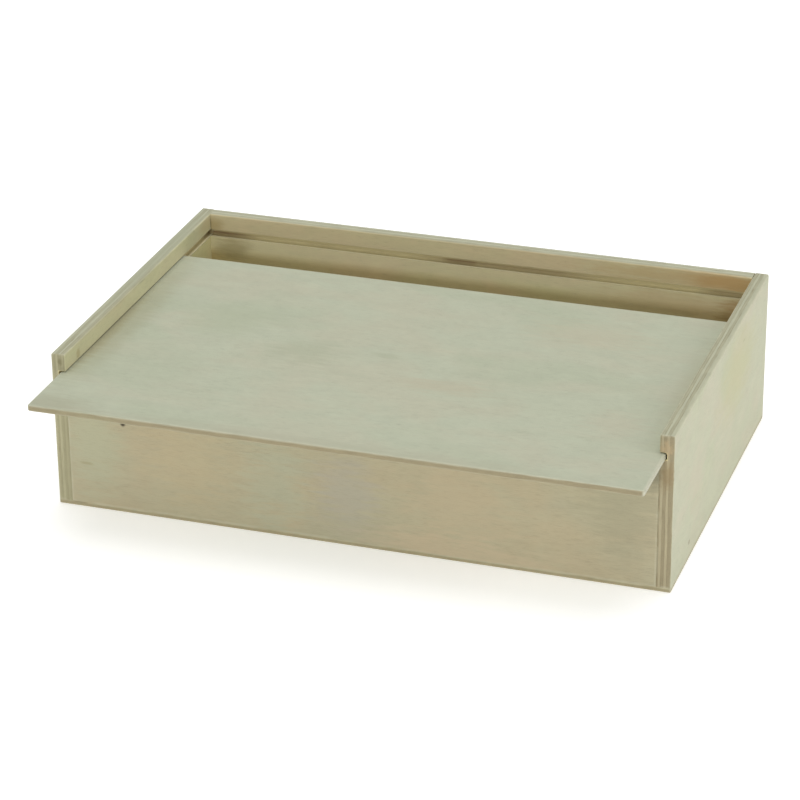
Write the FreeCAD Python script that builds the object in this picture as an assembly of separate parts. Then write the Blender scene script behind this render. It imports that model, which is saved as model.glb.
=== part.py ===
import FreeCAD, Part
import os

from FreeCAD import Vector

# Sliding lid box of plywood, in millimetres.
# The origin is the middle of the underside: +X to the right, +Y to the back, +Z up.
# Four grooved or plain walls stand on a thin bottom board, and a thin lid slides in the
# grooves of the sides and the back, out over the lower front wall.

# Overall size of the box, without the part of the lid that stands out at the front.
BOX_WIDTH = 390.0
BOX_DEPTH = 250.0
BOX_HEIGHT = 102.0

# Stock thicknesses of the plywood.
WALL = 9.0
BOTTOM = 3.0
LID = 4.0

# The groove that carries the lid: the lip above it, its section, and the round of the cutter's corners.
LIP_HEIGHT = 11.0
GROOVE_HEIGHT = 5.0
GROOVE_DEPTH = 4.5
GROOVE_CORNER = 1.5

# The lid's play in the groove, and how far it stands open.
LID_SIDE_PLAY = 1.0
LID_END_PLAY = 0.5
LID_FLOOR_PLAY = 0.1
LID_FRONT_INSET = 1.0
LID_OPEN = 50.0

# Sanded rounds along the boards' edges.
WALL_ROUND = 1.2
END_ROUND = 0.8
LID_CORNER = 2.0
LID_TOP_ROUND = 1.2
LID_UNDER_ROUND = 0.8

# How deep the sanding leaves the seams where the front and the back meet the sides.
SEAM = 0.25

# Gun brads that hold the bottom board: flat wire with a T head, driven just below its surface.
BRAD_LENGTH = 16.0
BRAD_WIDTH = 1.25
BRAD_THICKNESS = 1.0
BRAD_HEAD_WIDTH = 2.0
BRAD_HEAD = 0.6
BRAD_POINT = 1.6
BRAD_SUNK = 0.4
BRADS_PER_SIDE = 4
BRADS_PER_PANEL = 5
BRAD_END_GAP = 22.0

# The largest difference between two lengths that count as the same.
SAME_LENGTH = 1e-4

# Worked out from the dimensions above.
INNER_HALF_WIDTH = BOX_WIDTH / 2 - WALL
INNER_HALF_DEPTH = BOX_DEPTH / 2 - WALL
WALL_HEIGHT = BOX_HEIGHT - BOTTOM
GROOVE_TOP = WALL_HEIGHT - LIP_HEIGHT
GROOVE_FLOOR = GROOVE_TOP - GROOVE_HEIGHT
GROOVE_LENGTH = BOX_DEPTH - WALL + GROOVE_DEPTH
LID_WIDTH = 2 * (INNER_HALF_WIDTH + GROOVE_DEPTH - LID_SIDE_PLAY)
LID_CLOSED_BACK = INNER_HALF_DEPTH + GROOVE_DEPTH - LID_END_PLAY
LID_LENGTH = LID_CLOSED_BACK + BOX_DEPTH / 2 - LID_FRONT_INSET

ORIGIN = Vector(0, 0, 0)
X_AXIS = Vector(1, 0, 0)
Y_AXIS = Vector(0, 1, 0)
Z_AXIS = Vector(0, 0, 1)


class Outline:
    """A closed outline in the XZ plane, drawn with straight runs and quarter rounds."""

    def __init__(self, x, z):
        self.start = Vector(x, 0, z)
        self.pen = self.start
        self.edges = []

    def line(self, x, z):
        """Draw straight on to a point."""
        end = Vector(x, 0, z)
        self.edges.append(Part.makeLine(self.pen, end))
        self.pen = end

    def corner(self, x, z, radius, next_x, next_z):
        """Draw towards the corner, and round it towards the next point."""
        corner = Vector(x, 0, z)
        towards = (Vector(next_x, 0, next_z) - corner).normalize()
        back = (self.pen - corner).normalize()
        first = corner + back * radius
        last = corner + towards * radius
        centre = first + towards * radius
        middle = centre + (corner - centre).normalize() * radius
        self.line(first.x, first.z)
        self.edges.append(Part.Arc(first, middle, last).toShape())
        self.pen = last

    def face(self):
        """Close the outline and fill it."""
        self.line(self.start.x, self.start.z)
        return Part.Face(Part.Wire(self.edges))


def wall_section(height):
    """Section of a wall: inner face at x = 0, outer face at x = WALL, foot at z = 0, top edges round."""
    outline = Outline(0, 0)
    outline.corner(0, height, WALL_ROUND, WALL, height)
    outline.corner(WALL, height, WALL_ROUND, WALL, 0)
    outline.line(WALL, 0)
    return outline.face()


def groove_section():
    """Section of the groove that is cut into a wall's inner face."""
    outline = Outline(0, GROOVE_FLOOR)
    outline.corner(GROOVE_DEPTH, GROOVE_FLOOR, GROOVE_CORNER, GROOVE_DEPTH, GROOVE_TOP)
    outline.corner(GROOVE_DEPTH, GROOVE_TOP, GROOVE_CORNER, 0, GROOVE_TOP)
    outline.line(0, GROOVE_TOP)
    return outline.face()


def strip(section, length):
    """A section drawn out along +Y from the origin."""
    return section.extrude(Y_AXIS * length)


def edges_at(shape, test):
    """The edges of a shape whose two ends both pass a test."""
    return [edge for edge in shape.Edges if all(test(v.Point) for v in edge.Vertexes)]


def near(value, target):
    """Whether two lengths are the same, for picking edges."""
    return abs(value - target) < SAME_LENGTH


def square_corner(y, height):
    """What squares a side's inner corner, so that a panel's end can butt against it."""
    return Part.makeBox(END_ROUND, END_ROUND - SEAM, height, Vector(0, y, 0))


def side_wall():
    """The right wall: full depth, its ends sanded round all about, its groove stopped inside the back."""
    wall = strip(wall_section(WALL_HEIGHT), BOX_DEPTH)
    for end in (0, BOX_DEPTH):
        outer = edges_at(wall, lambda p: near(p.x, WALL) and near(p.y, end))
        wall = wall.makeFillet(END_ROUND, outer)
    at_front = square_corner(SEAM, GROOVE_FLOOR - WALL_ROUND)
    at_back = square_corner(BOX_DEPTH - END_ROUND, WALL_HEIGHT - WALL_ROUND)
    wall = wall.fuse([at_front, at_back]).removeSplitter()
    wall = wall.cut(strip(groove_section(), GROOVE_LENGTH))
    wall.translate(Vector(INNER_HALF_WIDTH, -BOX_DEPTH / 2, BOTTOM))
    return wall


def back_wall():
    """The back wall, between the sides: its groove joins the ends of theirs."""
    width = 2 * INNER_HALF_WIDTH
    wall = strip(wall_section(WALL_HEIGHT), width).cut(strip(groove_section(), width))
    wall.rotate(ORIGIN, Z_AXIS, 90)
    wall.translate(Vector(INNER_HALF_WIDTH, INNER_HALF_DEPTH, BOTTOM))
    return wall


def front_wall():
    """The front wall: a low strip between the sides, for the lid to pass over."""
    wall = strip(wall_section(GROOVE_FLOOR), 2 * INNER_HALF_WIDTH)
    wall.rotate(ORIGIN, Z_AXIS, -90)
    wall.translate(Vector(-INNER_HALF_WIDTH, -INNER_HALF_DEPTH, BOTTOM))
    return wall


def bottom_board():
    """The bottom board, flush with the walls, its lower edges and corners sanded round."""
    corner = Vector(-BOX_WIDTH / 2, -BOX_DEPTH / 2, 0)
    board = Part.makeBox(BOX_WIDTH, BOX_DEPTH, BOTTOM, corner)
    uprights = [edge for edge in board.Edges if near(edge.Length, BOTTOM)]
    board = board.makeFillet(END_ROUND, uprights)
    lower = edges_at(board, lambda p: near(p.z, 0))
    return board.makeFillet(END_ROUND, lower)


def lid_board():
    """The lid, standing open: corners clipped round, and every long edge eased for the groove."""
    back = LID_CLOSED_BACK - LID_OPEN
    foot = BOTTOM + GROOVE_FLOOR + LID_FLOOR_PLAY
    board = Part.makeBox(LID_WIDTH, LID_LENGTH, LID, Vector(-LID_WIDTH / 2, back - LID_LENGTH, foot))
    uprights = [edge for edge in board.Edges if near(edge.Length, LID)]
    board = board.makeFillet(LID_CORNER, uprights)
    upper = edges_at(board, lambda p: near(p.z, foot + LID))
    board = board.makeFillet(LID_TOP_ROUND, upper)
    lower = edges_at(board, lambda p: near(p.z, foot))
    return board.makeFillet(LID_UNDER_ROUND, lower)


def spaced(half_span, count):
    """Places spaced evenly from one end of a span to the other."""
    return [half_span * (2 * step / (count - 1) - 1) for step in range(count)]


def brad_places():
    """Where the brads go, along the middle of each wall's lower edge, and how far each is turned."""
    side_x = BOX_WIDTH / 2 - WALL / 2
    panel_y = BOX_DEPTH / 2 - WALL / 2
    places = []
    for sign in (-1, 1):
        for y in spaced(BOX_DEPTH / 2 - BRAD_END_GAP, BRADS_PER_SIDE):
            places.append((Vector(sign * side_x, y, 0), 90))
        for x in spaced(INNER_HALF_WIDTH - BRAD_END_GAP, BRADS_PER_PANEL):
            places.append((Vector(x, sign * panel_y, 0), 0))
    return places


def brad():
    """One brad, chisel point up, its head sunk just below the underside."""
    half_head = BRAD_HEAD_WIDTH / 2
    half = BRAD_WIDTH / 2
    neck = BRAD_SUNK + BRAD_HEAD
    tip = BRAD_SUNK + BRAD_LENGTH
    outline = Outline(-half_head, BRAD_SUNK)
    outline.line(half_head, BRAD_SUNK)
    outline.line(half_head, neck)
    outline.line(half, neck)
    outline.line(half, tip - BRAD_POINT)
    outline.line(0, tip)
    outline.line(-half, tip - BRAD_POINT)
    outline.line(-half, neck)
    outline.line(-half_head, neck)
    wire = outline.face().extrude(Y_AXIS * BRAD_THICKNESS)
    wire.translate(Y_AXIS * (-BRAD_THICKNESS / 2))
    return wire


def along_wall(shape, places):
    """Copies of a shape, one at each place, turned so that its width runs along the wall."""
    copies = []
    for place, turn in places:
        copy = shape.copy()
        copy.rotate(ORIGIN, Z_AXIS, turn)
        copy.translate(place)
        copies.append(copy)
    return copies


def brad_holes(places):
    """What a brad takes out of the wood: its own shape and the dimple below its head."""
    corner = Vector(-BRAD_HEAD_WIDTH / 2, -BRAD_THICKNESS / 2, 0)
    dimple = Part.makeBox(BRAD_HEAD_WIDTH, BRAD_THICKNESS, BRAD_SUNK, corner)
    return along_wall(brad().fuse(dimple).removeSplitter(), places)


def bored(board, holes):
    """A board with those brad holes that reach it."""
    hits = [hole for hole in holes if hole.common(board).Volume > 0]
    return board.cut(hits) if hits else board


def build():
    """Every piece of the box by name."""
    places = brad_places()
    holes = brad_holes(places)
    right = side_wall()
    wood = {
        "left_side": right.mirror(ORIGIN, X_AXIS),
        "right_side": right,
        "back_panel": back_wall(),
        "front_panel": front_wall(),
        "bottom_panel": bottom_board(),
    }
    pieces = {name: bored(board, holes) for name, board in wood.items()}
    pieces["lid"] = lid_board()
    pieces["bottom_brads"] = Part.makeCompound(along_wall(brad(), places))
    return pieces


os.makedirs("parts", exist_ok=True)
for name, shape in build().items():
    shape.exportStep("parts/" + name + ".step")
    print(name, len(shape.Solids), "solids", round(shape.Volume), "mm3", shape.isValid())
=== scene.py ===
import math

import bpy
from mathutils import Matrix, Vector


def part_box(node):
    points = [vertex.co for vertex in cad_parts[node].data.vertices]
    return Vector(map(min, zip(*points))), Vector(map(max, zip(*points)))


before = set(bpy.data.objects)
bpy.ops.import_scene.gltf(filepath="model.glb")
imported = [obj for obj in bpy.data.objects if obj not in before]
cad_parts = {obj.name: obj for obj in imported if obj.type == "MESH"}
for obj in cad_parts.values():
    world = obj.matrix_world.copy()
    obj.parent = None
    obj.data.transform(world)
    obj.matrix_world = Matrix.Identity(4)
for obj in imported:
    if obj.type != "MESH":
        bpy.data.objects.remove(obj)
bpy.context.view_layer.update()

# A sliding lid box of bare plywood, on a pale floor under soft studio light.
# The scene is in metres. The materials work in millimetres, in each board's own coordinates.

MM = 0.001
X, Y, Z = 0, 1, 2
WHITE = (1.0, 1.0, 1.0, 1.0)

# The view: where the camera's axis meets the box, from where it looks, and how it is rolled.
VIEW_TARGET = Vector((-0.0054, -0.0232, 0.05135))
VIEW_AZIMUTH = math.radians(18.62)
VIEW_ELEVATION = math.radians(25.23)
VIEW_DISTANCE = 1.9584
VIEW_ROLL = math.radians(-0.55)
LENS_MM = 140.9
SENSOR_MM = 36.0

# Square soft lights that point at the box: place, size and power. The pale room lights the rest.
LIGHTS = {
    "key_right": ((2.55, -0.45, 1.5), 1.4, 15.0),
    "left": ((-2.4, -0.8, 1.45), 1.2, 5.0),
    "top": ((0.0, 0.2, 3.0), 2.4, 37.5),
    "front": ((0.2, -2.85, 0.99), 0.36, 22.0),
}
ROOM_STRENGTH = 0.55

# The floor: half its width and how far it lies below the box, in metres, and its glow and finish.
FLOOR_HALF = 6.0
FLOOR_GAP = 0.00005
FLOOR_GLOW = 0.28
FLOOR_ROUGHNESS = 0.9


def tone(red, green, blue):
    """An 8-bit sRGB colour as linear RGBA."""
    def linear(value):
        share = value / 255
        return share / 12.92 if share <= 0.04045 else ((share + 0.055) / 1.055) ** 2.4
    return (linear(red), linear(green), linear(blue), 1.0)


# ---------------------------------------------------------------- node shorthand

# The Mix node's colour sockets, which share their names with its other sockets.
MIX_FIRST = 6
MIX_SECOND = 7
MIX_RESULT = 2


class Graph:
    """One material's nodes. An input takes a number, colour, vector or another node's output."""

    def __init__(self, name):
        self.material = bpy.data.materials.new(name)
        self.material.use_nodes = True
        self.nodes = self.material.node_tree.nodes
        self.links = self.material.node_tree.links
        self.shader = self.nodes["Principled BSDF"]

    def put(self, socket, value):
        """Link a socket to an output, or set its value."""
        if isinstance(value, bpy.types.NodeSocket):
            self.links.new(value, socket)
        else:
            socket.default_value = value

    def node(self, kind, inputs, **settings):
        """A new node with its settings and its inputs."""
        node = self.nodes.new("ShaderNode" + kind)
        for name, value in settings.items():
            setattr(node, name, value)
        for name, value in inputs.items():
            self.put(node.inputs[name], value)
        return node

    def math(self, operation, a, b=0.0):
        """One sum of two numbers."""
        return self.node("Math", {0: a, 1: b}, operation=operation).outputs[0]

    def total(self, first, *others):
        """Numbers added up."""
        for other in others:
            first = self.math("ADD", first, other)
        return first

    def product(self, first, *others):
        """Numbers multiplied together."""
        for other in others:
            first = self.math("MULTIPLY", first, other)
        return first

    def weighted(self, base, weights, **patterns):
        """A base, and each named pattern times its weight."""
        parts = [self.product(patterns[name], weight) for name, weight in weights.items()]
        return self.total(base, *parts)

    def centred(self, value):
        """A noise moved down by its mean, so that it goes both ways from 0."""
        return self.math("SUBTRACT", value, 0.5)

    def rise(self, value, low, high):
        """From 0 at low to 1 at high, smoothly; falling where low is above high."""
        ranges = {"Value": value, "From Min": low, "From Max": high}
        return self.node("MapRange", ranges, interpolation_type="SMOOTHSTEP").outputs["Result"]

    def blend(self, low, high, amount):
        """A number from low to high by an amount from 0 to 1."""
        ranges = {"Value": amount, "To Min": low, "To Max": high}
        return self.node("MapRange", ranges).outputs["Result"]

    def join(self, x, y, z):
        """Three numbers as one vector."""
        return self.node("CombineXYZ", {"X": x, "Y": y, "Z": z}).outputs["Vector"]

    def split(self, vector):
        """One vector as three numbers."""
        return list(self.node("SeparateXYZ", {"Vector": vector}).outputs)

    def vector_math(self, operation, a, b):
        """One sum of two vectors."""
        return self.node("VectorMath", {0: a, 1: b}, operation=operation).outputs["Vector"]

    def length(self, vector):
        """A vector's length."""
        return self.node("VectorMath", {0: vector}, operation="LENGTH").outputs["Value"]

    def noise(self, vector, cycles, detail, roughness=0.5, distortion=0.0, spread=None):
        """Cloudy noise around 0.5, or patches that rise to 1 over a spread of its levels."""
        inputs = {
            "Vector": self.vector_math("MULTIPLY", vector, cycles),
            "Scale": 1.0,
            "Detail": detail,
            "Roughness": roughness,
            "Distortion": distortion,
        }
        cloudy = self.node("TexNoise", inputs).outputs["Fac"]
        return self.rise(cloudy, *spread) if spread else cloudy

    def mix(self, amount, first, second, blend_type="MIX"):
        """Two colours mixed."""
        node = self.node("Mix", {"Factor": amount}, data_type="RGBA", blend_type=blend_type)
        self.put(node.inputs[MIX_FIRST], first)
        self.put(node.inputs[MIX_SECOND], second)
        return node.outputs[MIX_RESULT]

    def scaled(self, colour, factor):
        """A colour made darker or lighter by a factor."""
        return self.mix(1.0, colour, self.join(factor, factor, factor), "MULTIPLY")

    def ramp(self, value, stops):
        """A number looked up in a list of (place, level) stops."""
        node = self.node("ValToRGB", {"Fac": value})
        elements = node.color_ramp.elements
        elements[0].position = stops[0][0]
        elements[1].position = stops[-1][0]
        for place, _ in stops[1:-1]:
            elements.new(place)
        for element, (_, level) in zip(elements, stops):
            element.color = (level, level, level, 1.0)
        return node.outputs["Color"]

    def object_point(self):
        """Millimetre coordinates that stay with the piece, and its surface normal."""
        source = self.node("TexCoord", {})
        inputs = {0: source.outputs["Object"], "Scale": 1 / MM}
        point = self.node("VectorMath", inputs, operation="SCALE").outputs["Vector"]
        return point, source.outputs["Normal"]


# ---------------------------------------------------------------- where things are on the box

# Faces of the pieces, in millimetres.
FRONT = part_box("front_panel")[0].y / MM
BACK_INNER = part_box("back_panel")[0].y / MM
LEFT_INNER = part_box("left_side")[1].x / MM
RIGHT_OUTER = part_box("right_side")[1].x / MM
WALL_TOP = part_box("left_side")[1].z / MM
LID_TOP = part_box("lid")[1].z / MM
LID_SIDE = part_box("lid")[1].x / MM

# The groove: its floor and top, its depth in the wall, and where its back wall is.
GROOVE_HEIGHT = 5.0
GROOVE_DEEP = 4.5
GROOVE_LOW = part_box("front_panel")[1].z / MM
GROOVE_HIGH = GROOVE_LOW + GROOVE_HEIGHT
GROOVE_BACK = BACK_INNER + GROOVE_DEEP

# The groove's colours start this far outside it and are whole this far inside, in millimetres. They
# fade further behind its upright wall, in the sides' front ends.
GROOVE_OUTSIDE = 0.4
GROOVE_INSIDE = 0.1
GROOVE_BEHIND = 0.6


# ---------------------------------------------------------------- plywood

# Glue lines, as shares of a board's thickness from its inner or lower face.
WALL_GLUE_LINES = (0.10, 0.295, 0.49, 0.68)
THIN_GLUE_LINES = (0.24, 0.76)
GLUE_HALF_WIDTH = 0.016

# Each board: the axis of its grain, its glue lines, and where in the endless wood it was cut from.
BOARDS = {
    "left_side": (Y, WALL_GLUE_LINES, 310.0),
    "right_side": (Y, WALL_GLUE_LINES, 1270.0),
    "front_panel": (X, WALL_GLUE_LINES, 3190.0),
    "back_panel": (X, WALL_GLUE_LINES, 2290.0),
    "bottom_panel": (X, THIN_GLUE_LINES, 4130.0),
    "lid": (X, THIN_GLUE_LINES, 5210.0),
}

# Noises in the wood, with their cycles per millimetre along the grain, across it and inwards. Those
# with a spread make patches: none below its first level, and whole above its second.
CLOUDS = dict(
    cycles=(0.014, 0.026, 0.3), detail=4.0, roughness=0.6, distortion=0.4, spread=(0.38, 0.64)
)
GREY_PATCHES = dict(cycles=(0.009, 0.017, 0.3), detail=3.0, distortion=0.6, spread=(0.50, 0.70))
CONTOUR = dict(cycles=(0.003, 0.020, 0.2), detail=2.0, roughness=0.4, distortion=0.4)
MOTTLE = dict(cycles=(0.06, 0.09, 0.3), detail=4.0, roughness=0.6, distortion=0.3)
FLECKS = dict(cycles=(0.10, 0.9, 0.5), detail=3.0, roughness=0.6, spread=(0.62, 0.74))
PORES = dict(cycles=(0.16, 3.2, 0.8), detail=3.0, spread=(0.56, 0.66))
FIBRE_ALONG = dict(cycles=(0.05, 1.3, 1.3), detail=4.0, roughness=0.6)
FIBRE_ACROSS = dict(cycles=(1.3, 0.05, 1.3), detail=4.0, roughness=0.6)
PLY_WANDER = dict(cycles=(0.02, 0.02, 0.0), detail=3.0)
EDGE_BLOTCHES = dict(cycles=(0.10, 0.10, 0.5), detail=4.0, roughness=0.65)
CLEAR_GLUE = dict(cycles=(0.03, 0.03, 0.4), detail=3.0, roughness=0.6, spread=(0.35, 0.60))
VENEER_GAPS = dict(cycles=(0.05, 0.05, 0.9), detail=2.0, roughness=0.4, spread=(0.70, 0.74))
RUBBING = dict(cycles=(0.06, 0.06, 0.3), detail=3.0, roughness=0.6)
MARK_BREAKS = dict(cycles=(0.05, 0.35, 0.3), detail=4.0, roughness=0.65)
CUTTER_HEAT = dict(cycles=(0.03, 0.2, 0.2), detail=4.0, roughness=0.65, spread=(0.40, 0.80))

# How many radians the figure turns as its contour noise goes from 0 to 1, and the span over which a
# ply's place wanders, as a share of the board's thickness.
FIGURE_WAVES = 120.0
WANDER_SHARE = 0.06

# A face's brightness and roughness without its patterns, and how much each pattern adds to the
# brightness of faces and of edges, to the relief and to the roughness.
FACE_LEVEL = 1.02
ROUGHNESS_LEVEL = 0.5
FACE_WEIGHTS = dict(figure=0.008, fibre=0.08, mottle=0.14, flecks=-0.06, pores=-0.10)
EDGE_WEIGHTS = dict(fibre=0.30, blotches=0.40)
RELIEF_WEIGHTS = dict(fibre=0.05, pores=-0.05, glue=-0.04)
ROUGHNESS_WEIGHTS = dict(fibre=0.2, rubbing=0.12, worn=-0.12)

# How much the glue and the gaps darken an edge.
GLUE_STRENGTH = 0.65
GAP_STRENGTH = 0.6

# Ranges for rise: a surface that faces an axis, and a ply that is cut across its grain.
FACES_AXIS = (0.5, 0.8)
CUT_ACROSS = (0.3, 0.8)

# Upper arrises, rubbed and with a painted highlight: how near the edge in millimetres, which way
# up, and where the rubbing shows.
ARRIS_REACH = (1.6, 0.3)
NOT_UNDER = (-0.4, 0.2)
RUBBED = (0.35, 0.6)

# The half of a wall towards the inside, as shares of its thickness from there.
INNER_HALF = (0.6, 0.4)

# Marks, stains and painted shade alike, as shares of their half sizes: the edge, where it is whole,
# and how far the outline breaks.
MARK_EDGE = (1.0, 0.2)
MARK_BREAK = 3.0

# The groove's mouth, by millimetres of depth, where its floor gets a painted highlight, and how far
# the colour of cut wood covers a face's.
GROOVE_MOUTH = (2.2, 0.6)
CUT_COVER = 0.92
# Cut wood, paler than the faces, partly painted light in the shaded groove, and a painted highlight
# on its floor.
FRESH_CUT_AND_LIGHT = tone(207, 195, 147)
PAINTED_FLOOR_HIGHLIGHT = tone(232, 223, 182)

# The cutter's scorches: a faint one all along, and the ends of a strong one as shares of its half
# length. Level faces are cleared of them, a little inside and nearly all at the mouth. They are
# weak in the groove's upper half, which starts between these two distances below its top.
SCORCHED = tone(96, 56, 6)
FAINT_SCORCH = 0.25
SCORCH_ENDS = (1.4, 0.4)
LEVEL_CLEARED = (0.4, 0.95)
WEAK_SCORCH = 0.3
WEAK_BELOW_TOP = (3.4, 2.4)

# How much the wood shines, and how strongly its relief shows.
SPECULAR = 0.3
BUMP_STRENGTH = 0.8


class Board:
    """A plywood board's material: where each point lies in the board, and how its wood looks."""

    def __init__(self, node):
        self.node = node
        self.graph = Graph("plywood_" + node)
        self.grain, self.glue_lines, start = BOARDS[node]
        low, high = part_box(node)
        size = high - low
        self.through = min((X, Y, Z), key=lambda axis: size[axis])
        self.across = X + Y + Z - self.through - self.grain
        self.place(low / MM, high / MM, start)

    def place(self, low, high, start):
        """Coordinates in the wood, how near an edge is, and which way the surface faces."""
        graph = self.graph
        self.spot, normal = graph.object_point()
        self.point = graph.split(self.spot)
        normal = graph.split(normal)
        self.facing = [graph.math("ABSOLUTE", part) for part in normal]
        self.upward = normal[Z]
        lows = [graph.math("SUBTRACT", self.point[axis], low[axis]) for axis in (X, Y, Z)]
        highs = [graph.math("SUBTRACT", high[axis], self.point[axis]) for axis in (X, Y, Z)]
        inner_is_low = abs(low[self.through]) < abs(high[self.through])
        self.depth = (lows if inner_is_low else highs)[self.through]
        self.thickness = high[self.through] - low[self.through]
        along = graph.math("ADD", self.point[self.grain], start)
        across = graph.math("ADD", self.point[self.across], start / 2)
        self.wood = graph.join(along, across, self.depth)
        # On the surface the least gap is 0, so the middle one is the way to the nearest edge.
        gaps = [graph.math("MINIMUM", a, b) for a, b in zip(lows, highs)]
        least = graph.math("MINIMUM", graph.math("MINIMUM", gaps[X], gaps[Y]), gaps[Z])
        most = graph.math("MAXIMUM", graph.math("MAXIMUM", gaps[X], gaps[Y]), gaps[Z])
        self.edge_gap = graph.math("SUBTRACT", graph.total(*gaps), graph.math("ADD", least, most))

    def plies(self):
        """Whether a point is in a ply laid along the grain, and whether it is on a glue line."""
        graph = self.graph
        wander = graph.centred(graph.noise(self.wood, **PLY_WANDER))
        level = graph.product(self.depth, 1 / self.thickness)
        share = graph.total(level, graph.product(wander, WANDER_SHARE))
        reach = 2 * GLUE_HALF_WIDTH
        kinds = [(0.0, 1.0)]
        lines = [(0.0, 0.0)]
        for number, line in enumerate(self.glue_lines):
            before = 1.0 - number % 2
            kinds += [(line - GLUE_HALF_WIDTH, before), (line + GLUE_HALF_WIDTH, 1.0 - before)]
            lines += [(line - reach, 0.0), (line, 1.0), (line + reach, 0.0)]
        kinds.append((1.0, 1.0))
        lines.append((1.0, 0.0))
        return graph.ramp(share, kinds), graph.ramp(share, lines)

    def face(self, look, fibre, pores):
        """The face veneer: clouds of colour, a faint figure, fine fibres, and short dark flecks."""
        graph = self.graph
        colour = graph.mix(graph.noise(self.wood, **CLOUDS), look["pale"], look["warm"])
        colour = graph.mix(graph.noise(self.wood, **GREY_PATCHES), colour, look["grey"])
        contour = graph.noise(self.wood, **CONTOUR)
        shade = graph.weighted(
            FACE_LEVEL,
            FACE_WEIGHTS,
            figure=graph.math("SINE", graph.product(contour, FIGURE_WAVES)),
            fibre=graph.centred(fibre),
            mottle=graph.centred(graph.noise(self.wood, **MOTTLE)),
            flecks=graph.noise(self.wood, **FLECKS),
            pores=pores,
        )
        return graph.scaled(colour, shade)

    def edges(self, look, fibre, along_grain, glue):
        """The plies in the board's edges and ends: dark where they are cut across, else pale."""
        graph = self.graph
        cut_across = graph.blend(self.facing[self.across], self.facing[self.grain], along_grain)
        cut = graph.rise(cut_across, *CUT_ACROSS)
        at_end = graph.rise(self.facing[self.grain], *FACES_AXIS)
        colour = graph.mix(at_end, graph.mix(cut, *look["edge"]), graph.mix(cut, *look["end"]))
        blotches = graph.centred(graph.noise(self.wood, **EDGE_BLOTCHES))
        shade = graph.weighted(1.0, EDGE_WEIGHTS, fibre=graph.centred(fibre), blotches=blotches)
        glued = graph.product(glue, graph.noise(self.wood, **CLEAR_GLUE), GLUE_STRENGTH)
        gaps = graph.product(graph.noise(self.wood, **VENEER_GAPS), GAP_STRENGTH)
        dark = graph.math("MAXIMUM", glued, gaps)
        return graph.mix(dark, graph.scaled(colour, shade), look["glue"])

    def paint(self, look):
        """Faces and edges together, with the upper arrises a little paler where rubbed and where a
        highlight is painted on them.
        """
        graph = self.graph
        along_grain, glue = self.plies()
        with_grain = graph.noise(self.wood, **FIBRE_ALONG)
        cross_grain = graph.noise(self.wood, **FIBRE_ACROSS)
        fibre = graph.blend(cross_grain, with_grain, along_grain)
        pores = graph.noise(self.wood, **PORES)
        self.on_face = graph.rise(self.facing[self.through], *FACES_AXIS)
        face = self.face(look, fibre, pores)
        colour = graph.mix(self.on_face, self.edges(look, fibre, along_grain, glue), face)
        rubbing = graph.noise(self.wood, **RUBBING)
        near_arris = graph.rise(self.edge_gap, *ARRIS_REACH)
        not_under = graph.rise(self.upward, *NOT_UNDER)
        # Upper arrises paler: rubbing, and a painted highlight on those that face up.
        worn = graph.product(near_arris, not_under, graph.rise(rubbing, *RUBBED))
        self.colour = graph.mix(graph.product(worn, look["highlight_and_wear"]), colour, look["arris"])
        self.relief = graph.weighted(0.0, RELIEF_WEIGHTS, fibre=fibre, pores=pores, glue=glue)
        self.roughness = graph.weighted(
            ROUGHNESS_LEVEL, ROUGHNESS_WEIGHTS, fibre=fibre, rubbing=rubbing, worn=worn
        )
        self.mark_breaks = graph.centred(graph.noise(self.wood, **MARK_BREAKS))

    def tint_inner_face(self, tint, top, soft=1.0):
        """Tint the face towards the inside up to some height, with painted light and shade."""
        graph = self.graph
        outer, inner = INNER_HALF
        inner_half = graph.rise(self.depth, self.thickness * outer, self.thickness * inner)
        below = graph.rise(self.point[Z], top + soft, top - soft)
        tinted = graph.mix(1.0, self.colour, tint, "MULTIPLY")
        self.colour = graph.mix(graph.product(inner_half, self.on_face, below), self.colour, tinted)

    def mark(self, centre, half_sizes, colour, strength, ragged=0.8):
        """A soft lump of another colour in the wood, for stains and painted shade alike, its
        outline broken by the grain.
        """
        graph = self.graph
        offset = graph.vector_math("SUBTRACT", self.spot, centre)
        distance = graph.length(graph.vector_math("DIVIDE", offset, half_sizes))
        broken = graph.total(distance, graph.product(self.mark_breaks, ragged * MARK_BREAK))
        amount = graph.product(graph.rise(broken, *MARK_EDGE), strength)
        self.colour = graph.mix(amount, self.colour, colour)

    def in_groove(self):
        """From 0 outside the groove to 1 inside it."""
        graph = self.graph
        depth = self.depth
        _, y, z = self.point
        above_floor = graph.rise(z, GROOVE_LOW - GROOVE_OUTSIDE, GROOVE_LOW + GROOVE_INSIDE)
        below_top = graph.rise(z, GROOVE_HIGH + GROOVE_OUTSIDE, GROOVE_HIGH - GROOVE_INSIDE)
        past_face = graph.rise(depth, GROOVE_INSIDE, GROOVE_OUTSIDE)
        not_behind = graph.rise(depth, GROOVE_DEEP + GROOVE_BEHIND, GROOVE_DEEP + GROOVE_INSIDE)
        before_end = graph.rise(y, GROOVE_BACK + GROOVE_OUTSIDE, GROOVE_BACK + GROOVE_INSIDE)
        return graph.product(above_floor, below_top, past_face, not_behind, before_end)

    def groove(self, scorches):
        """The inside of the groove: freshly cut wood painted pale partly as light, a painted
        highlight on its floor, and scorches.
        """
        graph = self.graph
        inside = self.in_groove()
        mouth = graph.rise(self.depth, *GROOVE_MOUTH)
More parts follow.
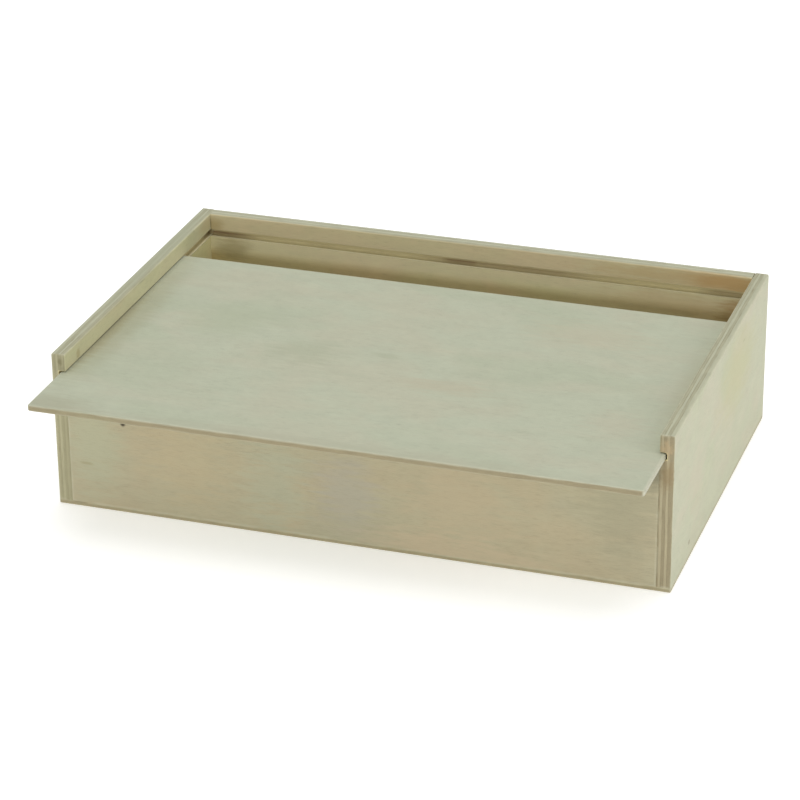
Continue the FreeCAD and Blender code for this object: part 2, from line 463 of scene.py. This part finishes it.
        # Pale cut wood, partly painted light, with a painted highlight on the floor near the mouth.
        cut = graph.mix(graph.product(self.facing[Z], mouth), FRESH_CUT_AND_LIGHT, PAINTED_FLOOR_HIGHLIGHT)
        self.colour = graph.mix(graph.product(inside, CUT_COVER), self.colour, cut)
        heat = self.heat(scorches)
        cleared = graph.product(self.facing[Z], graph.blend(*LEVEL_CLEARED, mouth))
        kept = graph.math("SUBTRACT", 1.0, cleared)
        upper_half = graph.rise(self.point[Z], *[GROOVE_HIGH - below for below in WEAK_BELOW_TOP])
        weakening = graph.blend(1.0, WEAK_SCORCH, upper_half)
        self.colour = graph.mix(graph.product(inside, heat, kept, weakening), self.colour, SCORCHED)

    def heat(self, scorches):
        """How scorched the groove is: faintly all along, and more at the listed places."""
        graph = self.graph
        heat = graph.product(graph.noise(self.wood, **CUTTER_HEAT), FAINT_SCORCH)
        for place, half_length, strength in scorches:
            away = graph.math("ABSOLUTE", graph.math("SUBTRACT", self.point[self.grain], place))
            near = graph.rise(away, *[half_length * end for end in SCORCH_ENDS])
            heat = graph.math("MAXIMUM", heat, graph.product(near, strength))
        return heat

    def finish(self):
        """Link the colour, the roughness and the relief to the shader, and cover the piece."""
        graph = self.graph
        inputs = {"Height": self.relief, "Distance": MM, "Strength": BUMP_STRENGTH}
        bump = graph.node("Bump", inputs)
        graph.put(graph.shader.inputs["Base Color"], self.colour)
        graph.put(graph.shader.inputs["Roughness"], self.roughness)
        graph.put(graph.shader.inputs["Normal"], bump.outputs["Normal"])
        graph.put(graph.shader.inputs["Specular IOR Level"], SPECULAR)
        cover(self.node, graph.material)


def cover(node, material):
    """Give a CAD piece its material."""
    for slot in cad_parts[node].material_slots:
        slot.material = material


# ---------------------------------------------------------------- each board's wood

# A look holds the face's three colours, the colours of the edges and the ends where a ply isn't cut
# across and where it is, the glue's, the upper arrises' colour, rubbed and painted with a
# highlight, and how strongly it shows.
SIDE_LOOK = {
    "pale": tone(188, 189, 163),
    "warm": tone(191, 187, 163),
    "grey": tone(184, 187, 158),
    "edge": (tone(174, 174, 149), tone(162, 160, 134)),
    "end": (tone(165, 155, 126), tone(146, 136, 108)),
    "glue": tone(112, 100, 70),
    "arris": tone(194, 192, 167),
    "highlight_and_wear": 0.4,
}
LEFT_LOOK = dict(SIDE_LOOK, end=(tone(164, 159, 128), tone(152, 147, 116)), glue=tone(128, 118, 86))
FRONT_LOOK = dict(
    SIDE_LOOK,
    pale=tone(167, 160, 132),
    warm=tone(170, 159, 130),
    grey=tone(164, 159, 133),
)
BACK_LOOK = dict(SIDE_LOOK, edge=(tone(181, 182, 158), tone(170, 169, 143)), highlight_and_wear=0.1)
BOTTOM_LOOK = dict(
    SIDE_LOOK,
    pale=tone(184, 176, 144),
    warm=tone(186, 174, 140),
    grey=tone(178, 173, 142),
    edge=(tone(166, 158, 127), tone(152, 142, 111)),
    end=(tone(186, 182, 155), tone(176, 170, 141)),
)
LID_LOOK = dict(
    SIDE_LOOK,
    pale=tone(176, 180, 158),
    warm=tone(178, 178, 156),
    grey=tone(172, 177, 154),
    edge=(tone(151, 141, 113), tone(143, 133, 104)),
    end=(tone(190, 188, 166), tone(182, 179, 155)),
    arris=tone(192, 189, 165),
    highlight_and_wear=0.35,
)

# Painted light on the inner faces, warm as if bounced inside the box: on the sides' lips, and below
# their grooves.
LIP_PAINTED_LIGHT = (1.15, 1.10, 0.95, 1.0)
SHELTERED_PAINTED_BOUNCE = (1.05, 1.01, 0.86, 1.0)

# Painted light and shade on the back's inner face: warm bounce on its lip, light below the groove,
# warmer bounce lower, shade lowest. The tops give the height where a tint ends and how softly it
# does.
BACK_LIP_PAINTED_BOUNCE = (1.09, 0.95, 0.76, 1.0)
BACK_INSIDE_PAINTED_LIGHT = (1.11, 1.15, 1.16, 1.0)
BACK_LOW_PAINTED_BOUNCE = (1.14, 1.05, 0.86, 1.0)
BACK_LOW_TOP = (76.0, 5.0)
BACK_DEEP_PAINTED_SHADE = (0.88, 0.90, 0.93, 1.0)
BACK_DEEP_TOP = (60.0, 6.0)

# The lid's rubbed margins: how far in from its sides they begin to show, and where they are whole.
LID_MARGIN = (1.9, 0.7)
LID_MARGIN_RUB = 0.4
LID_MARGIN_COLOUR = tone(192, 192, 172)


def side(node, look, scorches):
    """A side, its inner face painted warmer and lighter than its outer one as light bounced in the
    box, with its groove.
    """
    board = Board(node)
    board.paint(look)
    # Painted bounce light: the lip lighter and warmer, and the face below the groove warmer.
    board.tint_inner_face(LIP_PAINTED_LIGHT, WALL_TOP)
    board.tint_inner_face(SHELTERED_PAINTED_BOUNCE, GROOVE_LOW)
    board.groove(scorches)
    return board


def dress_left():
    """The left side, with its stains."""
    left = side("left_side", LEFT_LOOK, [(118.0, 9.0, 0.5), (70.0, 10.0, 0.2)])
    # The lip's warm back end, and a dark spot in the plies of its front end.
    left.mark((LEFT_INNER, 108.0, 96.0), (2.0, 18.0, 8.0), tone(190, 174, 128), 0.5, 0.3)
    left.mark((-189.2, FRONT, 96.5), (2.2, 2.0, 3.2), tone(118, 112, 78), 0.6, 0.4)
    # The top edge, darker over most of its length, and most of all along its inner arris.
    left.mark((-191.0, 40.0, WALL_TOP), (9.0, 130.0, 2.0), tone(164, 166, 141), 0.75, 0.7)
    left.mark((-186.2, -50.0, WALL_TOP), (1.6, 130.0, 2.0), tone(150, 146, 116), 0.5, 0.2)
    # A brown spot on the lip.
    left.mark((LEFT_INNER, -105.0, 95.0), (2.0, 4.0, 5.0), tone(158, 140, 92), 0.45, 0.3)
    # The front end, dark at its inner edge and pale at its outer one.
    left.mark((-187.6, FRONT, 45.0), (3.0, 1.5, 80.0), tone(148, 143, 112), 0.55, 0.2)
    left.mark((-194.6, FRONT, 45.0), (2.0, 1.5, 80.0), tone(182, 177, 146), 0.5, 0.2)
    left.finish()


def dress_right():
    """The right side, with its stains and a painted shadow of the lid."""
    right = side("right_side", SIDE_LOOK, [(-121.0, 2.0, 0.6), (40.0, 14.0, 0.2)])
    # The outer face: a broad yellow patch, a pink one, and two small scars.
    right.mark((RIGHT_OUTER, 40.0, 72.0), (2.0, 66.0, 36.0), tone(188, 185, 142), 0.6, 0.4)
    right.mark((RIGHT_OUTER, -68.0, 45.0), (2.0, 30.0, 26.0), tone(196, 186, 164), 0.5)
    right.mark((RIGHT_OUTER, -80.4, 11.9), (1.5, 2.6, 2.0), tone(150, 140, 112), 0.7)
    right.mark((RIGHT_OUTER, 55.7, 85.3), (1.5, 5.0, 1.8), tone(164, 164, 122), 0.6)
    # The front end: warm at the lip, and a painted shadow of the lid below the groove.
    right.mark((190.0, FRONT, 93.0), (6.0, 2.0, 7.0), tone(184, 162, 126), 0.6)
    right.mark((190.5, FRONT, 76.0), (7.0, 2.0, 14.0), tone(140, 120, 84), 0.6, 0.4)
    right.finish()


def dress_front():
    """The front, with its stains, painted bounce light on its inner face, and a painted shadow of
    the lid.
    """
    front = Board("front_panel")
    front.paint(FRONT_LOOK)
    # Painted warm bounce light on the inner face.
    front.tint_inner_face(SHELTERED_PAINTED_BOUNCE, GROOVE_LOW)
    # Broad warm, green and grey patches.
    front.mark((-106.0, FRONT, 42.0), (46.0, 2.0, 40.0), tone(177, 163, 130), 0.5)
    front.mark((-52.0, FRONT, 36.0), (28.0, 2.0, 50.0), tone(165, 167, 142), 0.5, 1.0)
    front.mark((-6.0, FRONT, 35.0), (30.0, 2.0, 34.0), tone(160, 156, 143), 0.5, 0.6)
    front.mark((66.0, FRONT, 36.0), (48.0, 2.0, 34.0), tone(178, 163, 133), 0.5)
    front.mark((-170.0, FRONT, 48.0), (26.0, 2.0, 56.0), tone(168, 168, 140), 0.7, 0.6)
    # The knot, and a scratch.
    front.mark((-149.6, FRONT, 60.6), (2.4, 1.5, 2.6), tone(52, 42, 27), 0.95, 0.2)
    front.mark((-176.0, FRONT, 30.4), (6.0, 1.5, 1.6), tone(148, 142, 108), 0.6)
    # The warm foot, the darker right end, and a painted shadow of the lid over the right end's top.
    front.mark((60.0, FRONT, 6.0), (80.0, 2.0, 16.0), tone(186, 169, 140), 0.5)
    front.mark((166.0, FRONT, 52.0), (34.0, 2.0, 50.0), tone(150, 146, 120), 0.55, 0.6)
    front.mark((182.0, FRONT, 76.0), (22.0, 2.0, 16.0), tone(136, 132, 108), 0.7, 0.4)
    front.finish()


def dress_back():
    """The back, with its groove, and the stains and painted light and shade of its inner face."""
    back = Board("back_panel")
    back.paint(BACK_LOOK)
    # Painted light and shade on the inner face, from the lip down.
    back.tint_inner_face(BACK_LIP_PAINTED_BOUNCE, WALL_TOP)
    back.tint_inner_face(BACK_INSIDE_PAINTED_LIGHT, GROOVE_LOW)
    back.tint_inner_face(BACK_LOW_PAINTED_BOUNCE, *BACK_LOW_TOP)
    back.tint_inner_face(BACK_DEEP_PAINTED_SHADE, *BACK_DEEP_TOP)
    scorches = [(-188.0, 32.0, 0.75), (22.0, 58.0, 0.48), (-10.0, 15.0, 0.70), (173.0, 20.0, 0.45)]
    back.groove(scorches)
    # Painted shade in the back-left corner, above and below the groove.
    back.mark((-184.0, BACK_INNER, 94.0), (11.0, 2.0, 7.0), tone(170, 154, 108), 0.75, 0.3)
    back.mark((-170.0, BACK_INNER, 79.0), (18.0, 2.0, 11.0), tone(150, 136, 92), 0.6, 0.4)
    # A warm patch at the right below the groove, and painted shade, brown, where the right side
    # shades the corner.
    back.mark((130.0, BACK_INNER, 78.0), (70.0, 2.0, 12.0), tone(184, 158, 110), 0.35, 0.5)
    back.mark((178.0, BACK_INNER, 76.0), (20.0, 2.0, 14.0), tone(150, 108, 56), 0.55, 0.4)
    # Painted shade in the lip's inner corners, over the dark butt joints there.
    back.mark((-186.0, BACK_INNER, 94.0), (1.0, 1.0, 9.0), tone(96, 84, 52), 0.7, 0.1)
    back.mark((186.0, BACK_INNER, 94.0), (1.0, 1.0, 9.0), tone(96, 84, 52), 0.7, 0.1)
    # The lip, warmer towards the right.
    back.mark((140.0, BACK_INNER, 96.0), (90.0, 3.0, 9.0), tone(184, 156, 106), 0.45, 0.6)
    back.mark((172.0, BACK_INNER, 96.0), (40.0, 3.0, 9.0), tone(180, 144, 90), 0.7, 0.25)
    # The lip's top arris, darker all along.
    back.mark((0.0, 116.2, WALL_TOP), (260.0, 1.6, 2.0), tone(146, 132, 98), 0.42, 0.2)
    back.finish()


def dress_bottom():
    """The bottom board."""
    bottom = Board("bottom_panel")
    bottom.paint(BOTTOM_LOOK)
    bottom.finish()


def dress_lid():
    """The lid, with its stains and painted shade beside the lips, rubbed pale along the two edges
    that run in the grooves.
    """
    lid = Board("lid")
    lid.paint(LID_LOOK)
    # Green patches at the left and in the middle, and pink ones at the right.
    lid.mark((-58.0, -52.0, LID_TOP), (34.0, 26.0, 1.5), tone(160, 165, 140), 0.42, 0.5)
    lid.mark((-120.0, -22.0, LID_TOP), (40.0, 34.0, 1.5), tone(166, 172, 146), 0.5, 0.4)
    lid.mark((-6.0, -43.0, LID_TOP), (14.0, 6.0, 1.5), tone(160, 164, 140), 0.5, 0.4)
    lid.mark((41.0, -76.0, LID_TOP), (46.0, 14.0, 1.5), tone(180, 168, 144), 0.42, 0.5)
    lid.mark((106.0, 24.0, LID_TOP), (60.0, 26.0, 1.5), tone(182, 173, 149), 0.38, 0.6)
    lid.mark((152.0, -96.0, LID_TOP), (26.0, 26.0, 1.5), tone(182, 172, 150), 0.34, 0.6)
    # Painted shade beside the two lips, where they shade the lid, and a darker stretch along the
    # front.
    lid.mark((-179.0, -38.0, LID_TOP), (17.0, 130.0, 1.5), tone(160, 158, 130), 0.5, 0.25)
    lid.mark((-185.0, -60.0, LID_TOP), (8.0, 90.0, 1.5), tone(148, 140, 106), 0.5, 0.2)
    lid.mark((182.0, -40.0, LID_TOP), (12.0, 100.0, 1.5), tone(170, 169, 144), 0.35, 0.4)
    lid.mark((0.0, -172.0, LID_TOP), (230.0, 12.0, 1.5), tone(168, 167, 145), 0.5, 0.4)
    lid.mark((-174.0, -168.0, LID_TOP), (34.0, 18.0, 1.5), tone(160, 159, 136), 0.6, 0.4)
    # The front edge: greener at the left, and paler at its foot.
    lid.mark((-150.0, -173.0, 88.0), (46.0, 1.5, 3.0), tone(150, 153, 118), 0.55, 0.2)
    lid.mark((0.0, -173.0, 86.1), (260.0, 1.5, 1.4), tone(176, 166, 136), 0.6, 0.1)
    rub_lid_margins(lid)
    lid.finish()


def rub_lid_margins(lid):
    """The lid's left and right margins, rubbed pale in the grooves."""
    graph = lid.graph
    from_middle = graph.math("ABSOLUTE", lid.point[X])
    margin = graph.rise(from_middle, *[LID_SIDE - inset for inset in LID_MARGIN])
    lid.colour = graph.mix(graph.product(margin, LID_MARGIN_RUB), lid.colour, LID_MARGIN_COLOUR)


# ---------------------------------------------------------------- steel

STEEL_SCRATCHES = dict(cycles=(6.0, 6.0, 0.6), detail=3.0)
STEEL_DULL = tone(150, 148, 142)
STEEL_BRIGHT = tone(190, 188, 182)
STEEL_ROUGHNESS = (0.25, 0.5)


def dress_brads():
    """Bright drawn steel wire."""
    graph = Graph("brad_steel")
    point, _ = graph.object_point()
    scratches = graph.noise(point, **STEEL_SCRATCHES)
    graph.put(graph.shader.inputs["Base Color"], graph.mix(scratches, STEEL_DULL, STEEL_BRIGHT))
    graph.put(graph.shader.inputs["Roughness"], graph.blend(*STEEL_ROUGHNESS, scratches))
    graph.put(graph.shader.inputs["Metallic"], 1.0)
    cover("bottom_brads", graph.material)


# ---------------------------------------------------------------- stage, light and camera

def make_floor():
    """A wide white floor a hair below the box, glowing a little to keep its shadows pale."""
    signs = ((-1, -1), (1, -1), (1, 1), (-1, 1))
    corners = [(x * FLOOR_HALF, y * FLOOR_HALF, -FLOOR_GAP) for x, y in signs]
    mesh = bpy.data.meshes.new("floor")
    mesh.from_pydata(corners, [], [(0, 1, 2, 3)])
    floor = bpy.data.objects.new("floor", mesh)
    bpy.context.scene.collection.objects.link(floor)
    graph = Graph("floor_white")
    graph.put(graph.shader.inputs["Base Color"], tone(250, 250, 250))
    graph.put(graph.shader.inputs["Roughness"], FLOOR_ROUGHNESS)
    graph.put(graph.shader.inputs["Emission Color"], WHITE)
    graph.put(graph.shader.inputs["Emission Strength"], FLOOR_GLOW)
    mesh.materials.append(graph.material)


def soft_light(name, place, size, power):
    """A square soft light that points at the box."""
    data = bpy.data.lights.new(name, "AREA")
    data.size = size
    data.energy = power
    lamp = bpy.data.objects.new(name, data)
    lamp.location = place
    lamp.rotation_euler = (VIEW_TARGET - Vector(place)).to_track_quat("-Z", "Y").to_euler()
    bpy.context.scene.collection.objects.link(lamp)


def make_light():
    """The soft lights, and a pale room."""
    for name, (place, size, power) in LIGHTS.items():
        soft_light(name, place, size, power)
    world = bpy.data.worlds.new("room")
    world.use_nodes = True
    background = world.node_tree.nodes["Background"]
    background.inputs["Color"].default_value = WHITE
    background.inputs["Strength"].default_value = ROOM_STRENGTH
    bpy.context.scene.world = world


def make_camera():
    """The camera at the measured viewing angle, rolled a little."""
    flat = math.cos(VIEW_ELEVATION)
    back = Vector((
        math.sin(VIEW_AZIMUTH) * flat,
        -math.cos(VIEW_AZIMUTH) * flat,
        math.sin(VIEW_ELEVATION),
    ))
    data = bpy.data.cameras.new("camera")
    data.sensor_width = SENSOR_MM
    data.lens = LENS_MM
    camera = bpy.data.objects.new("camera", data)
    turn = (-back).to_track_quat("-Z", "Y").to_matrix().to_4x4()
    roll = Matrix.Rotation(VIEW_ROLL, 4, "Z")
    camera.matrix_world = Matrix.Translation(VIEW_TARGET + back * VIEW_DISTANCE) @ turn @ roll
    bpy.context.scene.collection.objects.link(camera)
    bpy.context.scene.camera = camera


dress_left()
dress_right()
dress_front()
dress_back()
dress_bottom()
dress_lid()
dress_brads()
make_floor()
make_light()
make_camera()
bpy.context.scene.view_settings.view_transform = "Standard"
